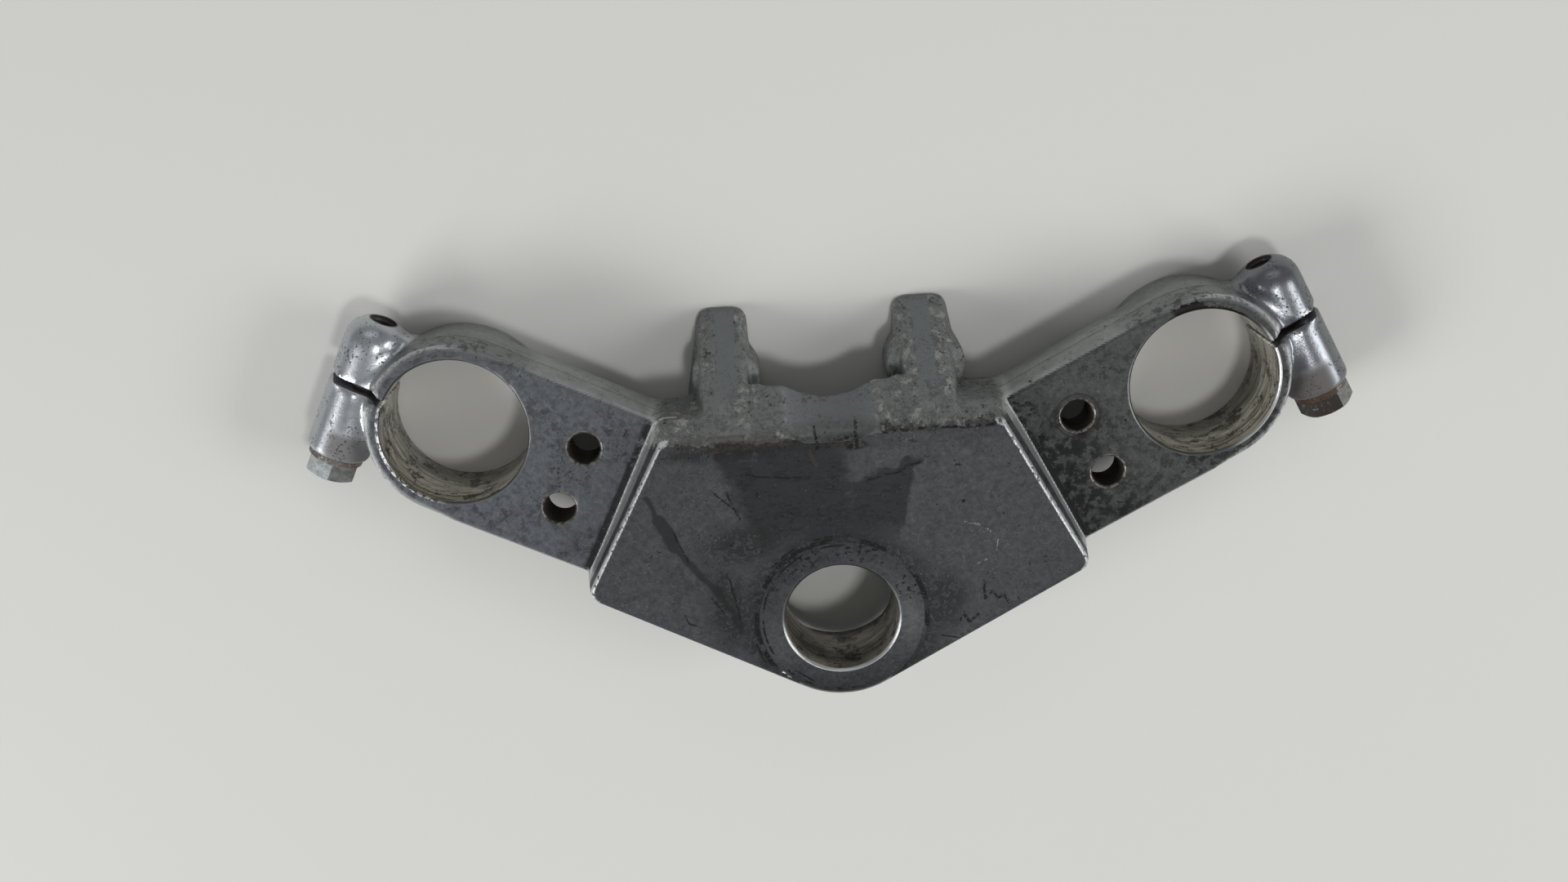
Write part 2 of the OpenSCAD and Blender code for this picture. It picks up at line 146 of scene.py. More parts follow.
def slit_block(name, u, size, side):
    """A block across a pinch boss, in line with its bolt; size is outwards, along the bolt, upwards."""
    work = bmesh.new()
    bmesh.ops.create_cube(work, size=1)
    mesh = bpy.data.meshes.new(name)
    work.to_mesh(mesh)
    work.free()
    turn = pinch_line(side)["axis"].to_track_quat("Y", "Z").to_matrix().to_4x4()
    mesh.transform(Matrix.Translation(arm_place(u, 0, 0, side)) @ turn @ Matrix.Diagonal((*size, 1)))
    return mesh


def joined(name, meshes):
    """One mesh that holds all the given ones."""
    work = bmesh.new()
    for mesh in meshes:
        work.from_mesh(mesh)
    mesh = bpy.data.meshes.new(name)
    work.to_mesh(mesh)
    work.free()
    return mesh


def apply_modifiers(thing):
    """Bakes an object's modifiers into a new mesh and returns the number of triangles."""
    graph = bpy.context.evaluated_depsgraph_get()
    graph.update()
    mesh = bpy.data.meshes.new_from_object(thing.evaluated_get(graph), depsgraph=graph)
    thing.modifiers.clear()
    thing.data = mesh
    return sum(len(face.vertices) - 2 for face in mesh.polygons)


def relax(mesh, rounds, where=None):
    """Moves each point towards the middle of its neighbours, over and over."""
    points = np.zeros(len(mesh.vertices) * 3)
    mesh.vertices.foreach_get("co", points)
    points = points.reshape(-1, 3)
    edges = np.zeros(len(mesh.edges) * 2, np.int64)
    mesh.edges.foreach_get("vertices", edges)
    ends = edges.reshape(-1, 2)
    first = np.concatenate([ends[:, 0], ends[:, 1]])
    other = np.concatenate([ends[:, 1], ends[:, 0]])
    count = np.bincount(first, minlength=len(points)).clip(1)
    share = RELAX_SHARE
    if where is not None:
        share = share * where(points)[:, None]
    for _ in range(rounds):
        sums = [np.bincount(first, points[other, k], len(points)) for k in range(3)]
        points += share * (np.stack([total / count for total in sums], 1) - points)
    mesh.vertices.foreach_set("co", points.ravel())
    mesh.update()


def ramp(values, start, end):
    """0 up to start, 1 from end on, and straight between them; start may be the larger one."""
    return np.clip((values - start) / (end - start), 0, 1)


def from_fork_axis(points):
    """How far points lie outwards along the arm, and how far from the fork's axis."""
    across = np.abs(points[:, 0]) - FORK_AT.x
    ahead = points[:, 1] - FORK_AT.y
    return across * ARM_OUT.x + ahead * ARM_OUT.y, np.hypot(across, ahead)


def boss_crevice(points):
    """1 for points where a pinch boss grows out of its ring, which is cast with a larger fillet."""
    outwards, from_axis = from_fork_axis(points)
    share = ramp(from_axis, 0.0252, 0.0260) * ramp(from_axis, 0.0292, 0.0282)
    return share * ramp(outwards, 0.012, 0.015) * (points[:, 2] < 0.0105)


def ring_edge(points):
    """1 along the outer top edge of the rings, which is cast rounder than the arms' edges."""
    outwards, from_axis = from_fork_axis(points)
    share = ramp(from_axis, 0.0225, 0.0233) * ramp(from_axis, 0.0262, 0.0256)
    return share * ramp(outwards, -0.009, -0.003) * ramp(points[:, 2], 0.0085, 0.0095)


dome = [(DOME_FLAT_R + DOME_R * math.sin(turn), PINCH_FRONT - DOME_R + DOME_R * math.cos(turn))
        for turn in map(math.radians, DOME_TURNS)]
boss_plug = [(0, -PINCH_BACK), (dome[0][0], -PINCH_BACK), *dome, (0, PINCH_FRONT)]
rough_parts = [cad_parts["clamp_casting"].data]
for side in (-1, 1):
    rough_parts.append(plug(FORK_R + PLUG_WALL, FLOOR_Z, RIM_Z, (side * FORK_AT.x, FORK_AT.y, 0)))
    for hole_v in (-HOLE_V, HOLE_V):
        rough_parts.append(plug(HOLE_R + PLUG_WALL, HOLE_LOW, RIM_Z, arm_place(HOLE_U, hole_v, 0, side)))
    rough_parts.append(turned("plug", boss_plug, **pinch_line(side)))
    rough_parts.append(slit_block("plug", SLIT_PLUG_U, SLIT_PLUG_SIZE, side))
rough_parts.append(plug(STEM_R + PLUG_WALL, 0, TOP_Z, (0, 0, 0)))
rough_parts.append(plug(SEAT_R + SEAT_PLUG_WALL, TOP_Z - SEAT_PLUG_DEPTH, TOP_Z, (0, 0, 0)))
casting = new_object("casting", joined("casting", rough_parts))
cells = casting.modifiers.new("cells", "REMESH")
cells.mode = "VOXEL"
cells.voxel_size = CELL
triangles = apply_modifiers(casting)
relax(casting.data, RELAX_ROUNDS)
relax(casting.data, ROUNDER_ROUNDS, where=boss_crevice)
relax(casting.data, ROUNDER_ROUNDS, where=ring_edge)
if triangles > MOST_TRIANGLES:
    thinner = casting.modifiers.new("thinner", "DECIMATE")
    thinner.ratio = MOST_TRIANGLES / triangles
    apply_modifiers(casting)

# The machining: the bores, the seat, the tapped holes and the slits are cut into the finished
# casting, and their small bevels are turned with them, so these edges stay crisp and bare.
BEVEL = 0.0006
LEFT_FORK_BEVEL = 0.6 * BEVEL
STEM_BEVEL = 0.0007
CUT_PAST = 0.003
SEAT_DEPTH = 0.0004
SEAT_DRAFT = 0.0001
THREAD_PITCH = 0.00125
HOLE_THREAD = 0.0005
PINCH_TAPPED_R = 0.00365
PINCH_THREAD = 0.00035
PINCH_TAPPED_LOW = -0.0005
PINCH_CLEAR_R = 0.00425
SWITCH_HOLE_R = 0.0034
SWITCH_HOLE_DEPTH = 0.014
SWITCH_HOLE_TIP = 0.0155
SWITCH_AT = (0.028, 0.066)
SLIT_U = 0.022
SLIT_SIZE = (0.044, 0.0022, 0.030)


def bore_cutter(radius, low, high, bevel_low, bevel_high, at):
    lowest = radius + (bevel_low + CUT_PAST if bevel_low > 0 else 0)
    outline = [(0, low - CUT_PAST), (lowest, low - CUT_PAST), (radius, low + bevel_low)]
    outline += [(radius, high - bevel_high), (radius + bevel_high + CUT_PAST, high + CUT_PAST)]
    return turned("bore_cutter", [*outline, (0, high + CUT_PAST)], at=Vector(at), steps=160)


def tapped_cutter(radius, depth, low, high, at, axis=Vector((0, 0, 1))):
    """Cuts a hole with thread grooves from low to high and a bevel at its mouth."""
    outline = [(0, low), (radius, low)]
    for groove in range(int((high - BEVEL - low) / THREAD_PITCH)):
        foot = low + groove * THREAD_PITCH
        outline.append((radius, foot + 0.15 * THREAD_PITCH))
        outline.append((radius + depth, foot + 0.5 * THREAD_PITCH))
        outline.append((radius, foot + 0.85 * THREAD_PITCH))
    outline += [(radius, high - BEVEL), (radius + BEVEL + CUT_PAST, high + CUT_PAST), (0, high + CUT_PAST)]
    return turned("tapped_cutter", outline, at=Vector(at), axis=axis, steps=72)


def clear_cutter(radius, low, high, tip, **line):
    return turned("clear_cutter", [(0, low), (radius, low), (radius, high), (0, tip)], **line)


def cut(thing, cutters):
    tool = new_object("cutter", joined("cutter", cutters))
    taken = thing.modifiers.new("cut", "BOOLEAN")
    taken.operation = "DIFFERENCE"
    taken.solver = "MANIFOLD"
    taken.object = tool
    apply_modifiers(thing)
    bpy.data.objects.remove(tool)


cut(casting, [
    bore_cutter(FORK_R, FLOOR_Z, RIM_Z, BEVEL, LEFT_FORK_BEVEL, (-FORK_AT.x, FORK_AT.y, 0)),
    bore_cutter(FORK_R, FLOOR_Z, RIM_Z, BEVEL, BEVEL, (FORK_AT.x, FORK_AT.y, 0)),
    bore_cutter(STEM_R, 0, TOP_Z - SEAT_DEPTH, 0, STEM_BEVEL, (0, 0, 0))])
seat_outline = [(0, TOP_Z - SEAT_DEPTH), (SEAT_R, TOP_Z - SEAT_DEPTH)]
seat_outline += [(SEAT_R + SEAT_DRAFT, TOP_Z + CUT_PAST), (0, TOP_Z + CUT_PAST)]
cut(casting, [turned("seat", seat_outline, steps=160)])
holes = []
for side in (-1, 1):
    for hole_v in (-HOLE_V, HOLE_V):
        hole_at = arm_place(HOLE_U, hole_v, 0, side)
        holes.append(tapped_cutter(HOLE_R, HOLE_THREAD, HOLE_LOW - CUT_PAST, RIM_Z, hole_at))
    holes.append(tapped_cutter(
        PINCH_TAPPED_R, PINCH_THREAD, PINCH_TAPPED_LOW, PINCH_FRONT, **pinch_line(side)))
    holes.append(clear_cutter(
        SWITCH_HOLE_R, FLOOR_Z - CUT_PAST, FLOOR_Z + SWITCH_HOLE_DEPTH, FLOOR_Z + SWITCH_HOLE_TIP,
        at=Vector((side * SWITCH_AT[0], SWITCH_AT[1], 0))))
cut(casting, holes)
cut(casting, [
    clear_cutter(PINCH_CLEAR_R, -PINCH_BACK - CUT_PAST, 0, 0, **pinch_line(side)) for side in (-1, 1)])
cut(casting, [slit_block("slit", SLIT_U, SLIT_SIZE, side) for side in (-1, 1)])

# The finish of the casting: silver-grey paint, darkened on the level faces by a film of road dirt that is
# partly painted shade, worn to bright metal with painted highlights on the edges of the deck and rings,
# flaked on the front face and the legs.
# Its places are in millimetres: u runs outwards along the arm and v forwards, from the fork's axis.
MM = 1000
ARM_Z = RIM_Z * MM
DECK_Z = TOP_Z * MM


class Spread:
    """A number that varies over the surface. Masks are spreads from 0 to 1: a * b is where both
    hold, a | b where either does, and 1 - a is the opposite."""

    def __init__(self, finish, output):
        self.finish = finish
        self.output = output

    def __mul__(self, other):
        return self.finish.maths("MULTIPLY", self, other)

    def __add__(self, other):
        return self.finish.maths("ADD", self, other)

    def __sub__(self, other):
        return self.finish.maths("SUBTRACT", self, other)

    def __rsub__(self, other):
        return self.finish.maths("SUBTRACT", other, self)

    def __or__(self, other):
        return self.finish.maths("MAXIMUM", self, other)

    def __abs__(self):
        return self.finish.maths("ABSOLUTE", self)

    __rmul__ = __mul__
    __radd__ = __add__


class Finish:
    """A node material in the making: each method adds one step and returns its output."""

    def __init__(self, name):
        self.material = bpy.data.materials.new(name)
        self.material.use_nodes = True
        self.tree = self.material.node_tree
        self.shader = self.tree.nodes["Principled BSDF"]
        geometry = self.node("ShaderNodeNewGeometry", {})
        self.pointed = geometry.outputs["Pointiness"]
        self.facing = geometry.outputs["True Normal"]
        surface = self.node("ShaderNodeTexCoord", {}).outputs["Object"]
        self.place = self.vector("SCALE", surface, scale=MM)

    def feed(self, socket, value):
        """Links an output to a socket, or sets the socket's own number, vector or colour."""
        if isinstance(value, Spread):
            value = value.output
        if isinstance(value, bpy.types.NodeSocket):
            self.tree.links.new(value, socket)
        else:
            socket.default_value = (*value, 1) if socket.type == "RGBA" else value

    def node(self, kind, inputs, **settings):
        made = self.tree.nodes.new(kind)
        for key, value in settings.items():
            setattr(made, key, value)
        for key, value in inputs.items():
            self.feed(made.inputs[key], value)
        return made

    def maths(self, operation, *values):
        made = self.node("ShaderNodeMath", dict(enumerate(values)), operation=operation)
        return Spread(self, made.outputs[0])

    def vector(self, operation, *values, scale=None):
        inputs = dict(enumerate(values))
        if scale is not None:
            inputs["Scale"] = scale
        made = self.node("ShaderNodeVectorMath", inputs, operation=operation)
        if operation in ("DOT_PRODUCT", "LENGTH", "DISTANCE"):
            return Spread(self, made.outputs["Value"])
        return made.outputs["Vector"]

    def parts(self, vector):
        return [Spread(self, part) for part in self.node("ShaderNodeSeparateXYZ", {0: vector}).outputs]

    def build(self, x, y, z):
        return self.node("ShaderNodeCombineXYZ", {0: x, 1: y, 2: z}).outputs[0]

    def from_fork(self):
        """The place seen from above and from the axis of the fork bore on the same side."""
        x, y, _ = self.parts(self.place)
        return self.vector("SUBTRACT", self.build(abs(x), y, 0.0), (FORK_AT.x * MM, FORK_AT.y * MM, 0))

    def rise(self, value, low, high, below=0.0, above=1.0):
        """0 where value is below low, 1 above high, eased between."""
        inputs = {"Value": value, "From Min": low, "From Max": high, "To Min": below, "To Max": above}
        eased = self.node("ShaderNodeMapRange", inputs, interpolation_type="SMOOTHSTEP")
        return Spread(self, eased.outputs[0])

    def fall(self, value, low, high):
        return self.rise(value, low, high, below=1.0, above=0.0)

    def near(self, value, middle, half_width, soft):
        return self.fall(abs(value - middle), half_width, half_width + soft)

    def noise(self, size, detail=3.0, rough=0.55, warp=0.0, place=None):
        """Cloudy noise from 0 to 1 whose lumps are about size millimetres across."""
        made = self.node("ShaderNodeTexNoise", {
            "Vector": place if place is not None else self.place, "Scale": 1 / size, "Detail": detail,
            "Roughness": rough, "Distortion": warp})
        return Spread(self, made.outputs["Fac"])

    def stretched(self, x, y, z):
        return self.vector("MULTIPLY", self.place, (x, y, z))

    def coat(self, under, where, paint, cover=1.0):
        """Lays paint over what is under it where the mask holds; cover is how much of it hides."""
        made = self.node("ShaderNodeMix", {}, data_type="RGBA")
        share = where if cover == 1.0 else where * cover
        for key, value in ((0, share), (6, under), (7, paint)):
            self.feed(made.inputs[key], value)
        return made.outputs[2]

    def stroke(self, place, start, end, half_width, soft):
        """A smear or scratch along a straight line, seen from above."""
        start = Vector((*start, 0))
        along = Vector((*end, 0)) - start
        from_start = self.vector("SUBTRACT", place, tuple(start))
        run = self.vector("DOT_PRODUCT", from_start, tuple(along / along.length_squared))
        run = self.node("ShaderNodeClamp", {"Value": run}).outputs[0]
        foot = self.vector("SCALE", tuple(along), scale=run)
        return self.fall(self.vector("DISTANCE", from_start, foot), half_width, half_width + soft)

    def trails(self, place, *lines):
        """Lines through several stops, each given as (half width, soft edge, stops)."""
        drawn = None
        for half_width, soft, stops in lines:
            for start, end in zip(stops, stops[1:]):
                leg = self.stroke(place, start, end, half_width, soft)
                drawn = leg if drawn is None else drawn | leg
        return drawn

    def beyond(self, place, at, way, soft):
        """1 on the side of a straight border that way points to."""
        way = Vector((*way, 0)).normalized()
        past = self.vector("DOT_PRODUCT", self.vector("SUBTRACT", place, (*at, 0)), tuple(way))
        return self.rise(past, -soft, soft)

    def blots(self, place, *spots):
        """Soft-edged patches, each given as (middle, reach in x and y, softness)."""
        drawn = None
        for middle, reach, soft in spots:
            offset = self.vector("SUBTRACT", place, (*middle, 0))
            scaled = self.vector("MULTIPLY", offset, (1 / reach[0], 1 / reach[1], 0))
            blot = self.fall(self.vector("LENGTH", scaled), 1 - soft, 1 + soft)
            drawn = blot if drawn is None else drawn | blot
        return drawn

    def bump(self, height, depth, under=None):
        """Relief of depth millimetres where height is 1."""
        inputs = {"Strength": 1.0, "Distance": depth / MM, "Height": height}
        if under is not None:
            inputs["Normal"] = under
        return self.node("ShaderNodeBump", inputs).outputs[0]

    def wear(self, **sockets):
        for name, value in sockets.items():
            self.feed(self.shader.inputs[name.replace("_", " ")], value)


silver = Finish("silver_paint")
x, y, z = silver.parts(silver.place)
level = silver.parts(silver.facing)[2]
aside = abs(x)
right_half = silver.rise(x, -1.0, 1.0)
left_half = 1 - right_half
from_above = silver.build(x, y, 0.0)
from_fork = silver.from_fork()
u = silver.vector("DOT_PRODUCT", from_fork, tuple(ARM_OUT))
v = silver.vector("DOT_PRODUCT", from_fork, tuple(ARM_AHEAD))
fork_r = silver.vector("LENGTH", from_fork)
stem_r = silver.vector("LENGTH", from_above)
hole_r = silver.vector("LENGTH", silver.build(u - HOLE_U * MM, abs(v) - HOLE_V * MM, 0.0))
boss_r = silver.vector("LENGTH", silver.build(u - PINCH_U * MM, z, 0.0))

clouds = silver.noise(14, detail=4)
turns = silver.noise(9, detail=4)
seat_turns = silver.noise(9, detail=3)
blotches = silver.noise(5, detail=5, rough=0.65)
smears = silver.noise(3, detail=5, rough=0.7, warp=1.5)
fine_clouds = silver.noise(2.4, detail=5, rough=0.65)
specks = silver.noise(1.3, detail=4, rough=0.6)
dots = silver.noise(0.7, detail=3, rough=0.6)
grains = silver.noise(0.45, detail=2)
drift = silver.node("ShaderNodeTexNoise", {"Vector": silver.place, "Scale": 1 / 6, "Detail": 5.0})
drift = silver.vector("SUBTRACT", drift.outputs["Color"], (0.5, 0.5, 0.5))
wandering = silver.vector("MULTIPLY_ADD", drift, (7, 7, 0), from_above)
steadier = silver.vector("MULTIPLY_ADD", drift, (2, 2, 0), from_above)

# The faces of the casting, as masks: machined places, the cast skin and the level and front faces
seat = silver.rise(z, DECK_Z - 1.1, DECK_Z - 0.9) * silver.fall(
    stem_r, SEAT_R * MM - 0.05, SEAT_R * MM + 0.05)
bore_wall = silver.fall(fork_r, 21.25, 21.3) | silver.fall(stem_r, 16.8, 16.85)
near_hole = silver.fall(hole_r, 8.5, 9.5) * silver.rise(z, 0.0, 0.5) * silver.fall(u, -25.0, -24.0)
boss_mouth = silver.rise(v, 18.0, 18.5) * silver.rise(u, 20.0, 21.0)
cast_skin = 1 - (seat | bore_wall | near_hole | boss_mouth)
slit_face = silver.fall(abs(v), 1.13, 1.16) * silver.rise(u, 19.0, 19.5)
facing_up = silver.rise(level, 0.80, 0.95)
deck_high = silver.rise(z, DECK_Z - 1.5, DECK_Z - 0.9)
on_deck = facing_up * deck_high
on_arm = facing_up * silver.near(z, ARM_Z, 0.6, 0.5)
on_boss = silver.fall(boss_r, 9.0, 10.5) * silver.rise(u, 17.0, 20.0)
between_flanks = silver.fall(aside, 46.0, 50.0)
front = silver.rise(y, 53.6, 55.4) * between_flanks
front_edge = silver.rise(y, 50.0, 51.5) * silver.fall(aside, 44.0, 48.0)
face = front | front_edge
flank = silver.near(aside, 42.0, 6.0, 3.0) * silver.rise(y, 50.0, 54.0) * silver.fall(level, 0.75, 0.9)
ring_side = silver.rise(u, -16.0, -8.0) * silver.rise(v, 10.0, 14.0) * silver.rise(fork_r, 23.0, 23.6)

# Paint by region: upright sides pale, the front grey; the left boss painted light and the right one painted
# shade, on the same paint
PAINT_SIDE = (0.33, 0.345, 0.34)
PAINT_SIDE_DULL = (0.25, 0.26, 0.255)
FLANK_PAINTED_LIGHT = (0.62, 0.63, 0.605)
PAINT_RING = (0.15, 0.16, 0.157)
PAINT_RING_DULL = (0.085, 0.09, 0.086)
LEFT_BOSS_PAINTED_LIGHT = (0.46, 0.48, 0.505)
RIGHT_BOSS_PAINTED_SHADE = (0.19, 0.20, 0.215)
PAINT_FACE = (0.160, 0.167, 0.165)
colour = silver.coat(PAINT_SIDE, silver.rise(blotches, 0.3, 0.7), PAINT_SIDE_DULL)
# The flanks beside the legs' roots are painted light: lighter than the paint, standing in for light where
# they lie in shade
colour = silver.coat(colour, flank, FLANK_PAINTED_LIGHT)
colour = silver.coat(colour, ring_side, PAINT_RING, 0.75)
colour = silver.coat(colour, ring_side * silver.rise(fine_clouds, 0.52, 0.58), PAINT_RING_DULL)
# The bosses share one paint: the left is lighter as a painted highlight, the right darker as painted shade
colour = silver.coat(colour, on_boss, silver.coat(LEFT_BOSS_PAINTED_LIGHT, right_half, RIGHT_BOSS_PAINTED_SHADE))
colour = silver.coat(colour, face, PAINT_FACE)

# The film of dirt and painted shade on the level faces, down to a ragged border on the front face
# The film is partly road dirt, partly painted shade for the dark room that the upward faces reflect
FILM = (0.049, 0.0525, 0.056)
FILM_LEFT_ARM = (0.086, 0.092, 0.101)
FILM_RIGHT_ARM = (0.052, 0.053, 0.053)
FILM_MOTTLED = (0.014, 0.014, 0.015)
DUST = (0.17, 0.18, 0.19)
film = silver.coat(FILM, on_arm * left_half, FILM_LEFT_ARM)
film = silver.coat(film, on_arm * right_half, FILM_RIGHT_ARM)
film = silver.vector("SCALE", film, scale=smears * 1.5 + 0.25)
film = silver.vector("SCALE", film, scale=specks + 0.45)
plain = deck_high * (1 - silver.blots(wandering, ((-22, 20), (24, 28), 0.5)))
mottle = silver.rise(fine_clouds, 0.52, 0.57) * silver.rise(clouds, 0.40, 0.58) * (1 - 0.85 * plain)
film = silver.coat(film, mottle * (0.7 - 0.25 * left_half), FILM_MOTTLED)
film = silver.coat(film, silver.rise(dots, 0.58, 0.66) * silver.rise(blotches, 0.42, 0.58), DUST, 0.36)
ragged_y = y + 9.0 * (fine_clouds - 0.5) - 1.6 * right_half
past_border = silver.rise(ragged_y, 53.9, 54.7) * between_flanks
upper_face = silver.rise(z, 15.5, 16.5) * silver.fall(y, 56.5, 58.0) * silver.rise(aside, 12.5, 13.5)
dirt_and_shade = (on_deck | on_arm | upper_face) * (1 - past_border)
colour = silver.coat(colour, dirt_and_shade, film)

# Dark rubbed patches and smears on the deck: a switch plate's worn print in the middle, a long
# crescent at the left, arcs and scratches
FILM_RUBBED = (0.016, 0.0165, 0.0185)
DIRT_RUBBED_IN = (0.011, 0.0105, 0.010)
SCRAPED = (0.21, 0.22, 0.23)
GRIME_BROWN = (0.036, 0.028, 0.020)
patch = (silver.beyond(wandering, (20.5, 36), (-0.966, 0.257), 0.7)
         * silver.beyond(wandering, (-27.5, 38), (0.926, 0.379), 2.0)
         * silver.beyond(wandering, (0, 25), (0, 1), 5.0)
         * (silver.beyond(wandering, (16, 44.5), (0.27, -0.96), 0.8)
            | silver.beyond(wandering, (3, 40), (-1, 0), 4.0)))
crescent = silver.stroke(wandering, (-34, 12), (-28, -2), 0.4, 1.2) | silver.trails(
    steadier,
    (0.3, 0.9, ((-51.6, 40), (-48.6, 33))),
    (1.5, 0.8, ((-48.4, 33), (-45.2, 25))),
    (0.5, 0.9, ((-45.2, 25), (-34, 10))))
arcs = silver.trails(
    steadier,
    (0.7, 0.9, ((-31.5, 50.5), (-25, 46))),
    (0.2, 0.7, ((-26, 44.8), (-15, 43.6), (-7, 43.0))),
    (0.35, 0.6, ((9, 41.6), (16, 42.6), (23.4, 45.6))))
black_arcs = on_deck * silver.rise(specks, 0.40, 0.48) * silver.trails(
    steadier,
    (0.05, 0.45, ((-24, 44.6), (-15, 43.4), (-9, 43.0))),
    (0.05, 0.50, ((9.5, 41.4), (16, 42.4), (23, 45.2))),
    (0.05, 0.45, ((-33, 40), (-27.5, 35))),
    (0.05, 0.50, ((-29.5, 40), (-26.5, 32))),
    (0.05, 0.50, ((-31, 16), (-29, 8), (-28.5, 2))),
    (0.05, 0.40, ((-36, 9), (-33, 4))),
    (0.05, 0.40, ((-14, -15.5), (-9, -19))),
    (0.05, 0.40, ((28, -7), (34, -9))),
    (0.05, 0.40, ((-45.6, 30), (-41.5, 20.5))))
smudges = silver.blots(
    wandering, ((28, 3), (7, 9), 0.5), ((-31, 5), (6, 12), 0.5), ((-26, 24), (12, 6), 0.6),
    ((-14, -19), (13, 6), 0.5), ((6, -23.5), (22, 4), 0.5), ((-32, 52), (16, 3), 0.5))
round_seat = silver.fall(silver.vector("LENGTH", wandering), 25.0, 31.0)
brushed = silver.noise(1.6, detail=4, rough=0.65, warp=0.8, place=silver.stretched(0.7, 1.6, 1.0))
print_strokes = on_deck * patch * silver.rise(brushed, 0.52, 0.58) * silver.rise(blotches, 0.38, 0.52)
rubbed_dirt = (on_deck * (1 - seat) * (smudges | round_seat)
               * silver.rise(smears, 0.42, 0.48) * silver.rise(specks, 0.36, 0.44))
rubbed = on_deck * (patch * silver.rise(smears, 0.30, 0.44) | crescent | arcs)
colour = silver.coat(colour, rubbed, FILM_RUBBED, 0.88)
colour = silver.coat(colour, rubbed_dirt | print_strokes, DIRT_RUBBED_IN, 0.75)
scrapes = on_deck * silver.rise(specks, 0.48, 0.56) * silver.trails(
    steadier,
    (0.05, 0.30, ((44.1, 20.8), (43.6, 16.7), (38.3, 14.0))),
    (0.05, 0.35, ((34.7, 26.7), (38.5, 26.0), (43.2, 23.0))))
colour = silver.coat(colour, scrapes, SCRAPED, 0.8)
stains = (silver.stroke(steadier, (-6.4, 50.2), (-4.9, 46.3), 0.3, 0.6)
          | silver.blots(steadier, ((4.5, 51.6), (6, 1.6), 0.5)) * silver.rise(specks, 0.42, 0.50)
          | silver.blots(steadier, ((-25, 53.5), (20, 1.6), 0.5)) * silver.rise(specks, 0.45, 0.53))
colour = silver.coat(colour, stains * silver.rise(z, 15.0, 16.0), GRIME_BROWN, 0.7)

# The black line round the stem's seat, the scrawls beside it and the specks of tar over everything
stem_lines = (
    silver.near(stem_r, 24.0, 0.5, 0.4) * silver.rise(seat_turns, 0.42, 0.50) * silver.rise(dots, 0.38, 0.46)
    | silver.near(stem_r, 25.2, 0.1, 0.4) * silver.rise(blotches, 0.50, 0.56) * silver.fall(x, 0.0, 8.0)
    | silver.near(stem_r, 22.2, 0.1, 0.35) * silver.rise(blotches, 0.48, 0.54) * silver.fall(x, 0.0, 8.0))
seat_spots = (seat * silver.rise(y, 0.0, 9.0) * silver.rise(stem_r, 17.2, 17.8)
              * silver.rise(specks, 0.53, 0.58) * silver.rise(seat_turns, 0.42, 0.54))
tar = (silver.rise(dots, 0.63, 0.67) * silver.rise(clouds, 0.42, 0.54) * (dirt_and_shade | cast_skin)
       | silver.rise(specks, 0.60, 0.66) * silver.rise(blotches, 0.50, 0.62) * cast_skin)
scrawls = silver.rise(specks, 0.40, 0.50) * silver.trails(
    steadier,
    (0.15, 0.45, ((40.1, 8.6), (40.6, 3.3), (42.5, 5.8), (43.9, 3.1), (45.8, 4.0), (46.8, 1.6))),
    (0.15, 0.45, ((33.1, -3.6), (34.6, -0.5), (36, -3.8), (38.5, -1.3))),
    (0.05, 0.35, ((-44, 4), (-43, 1.5), (-40, 0.5))))
lone_spot = silver.blots(from_above, ((34.9, 33.1), (0.5, 0.5), 0.3))
saddle_marks = (
    silver.stroke(steadier, (14, 54.6), (44, 54.4), 0.1, 0.5) * silver.rise(specks, 0.44, 0.52)
    | silver.rise(dots, 0.42, 0.50) * silver.trails(
        steadier, (0.2, 0.5, ((-4.6, 55.2), (-4.3, 51.2))), (0.2, 0.5, ((6.4, 56.0), (6.6, 50.9))))
    | silver.blots(steadier, ((5.5, 51.4), (3.5, 1.1), 0.5)) * silver.rise(specks, 0.46, 0.54))

# Grime along the foot of the deck's step, in the crevices and slits, and specks on the bosses
GRIME_BLACK = (0.007, 0.007, 0.007)
step_grime = on_arm * (
    silver.near(u, -48.4, 0.9, 0.7) * silver.fall(v, 9.0, 14.0) * silver.rise(specks, 0.36, 0.42)
    | silver.fall(u, -48.0, -46.0) * silver.rise(fine_clouds, 0.42, 0.52)
    | right_half * silver.fall(u, -45.0, -42.0) * silver.rise(fine_clouds, 0.50, 0.58))
right_grime = (on_arm * right_half * silver.fall(u, -36.0, -22.0) * silver.fall(v, 10.0, 18.0)
               * silver.rise(fine_clouds, 0.42, 0.52) * silver.rise(turns, 0.36, 0.50))
ring_grime = (right_half * silver.rise(fork_r, 21.3, 21.4) * silver.fall(fork_r, 25.5, 26.0)
              * silver.rise(z, 9.0, 10.0) * silver.rise(u, -18.0, -10.0) * silver.fall(v, -12.0, -6.0)
              * silver.rise(fine_clouds, 0.48, 0.54))
left_grime = (on_arm * silver.fall(u, -30.0, -20.0)
              * silver.rise(specks, 0.54, 0.62) * silver.rise(clouds, 0.46, 0.60))
boss_specks = on_boss * silver.rise(dots, 0.56, 0.60) * silver.rise(blotches, 0.50, 0.56)
hollows = silver.fall(silver.pointed, 0.43, 0.48) * cast_skin * silver.rise(blotches, 0.42, 0.56)
crevice = (silver.rise(u, 13.0, 18.0) * silver.fall(v, -15.5, -12.0)
           * silver.fall(boss_r, 9.8, 11.5) * silver.fall(u - z, 21.0, 26.0))
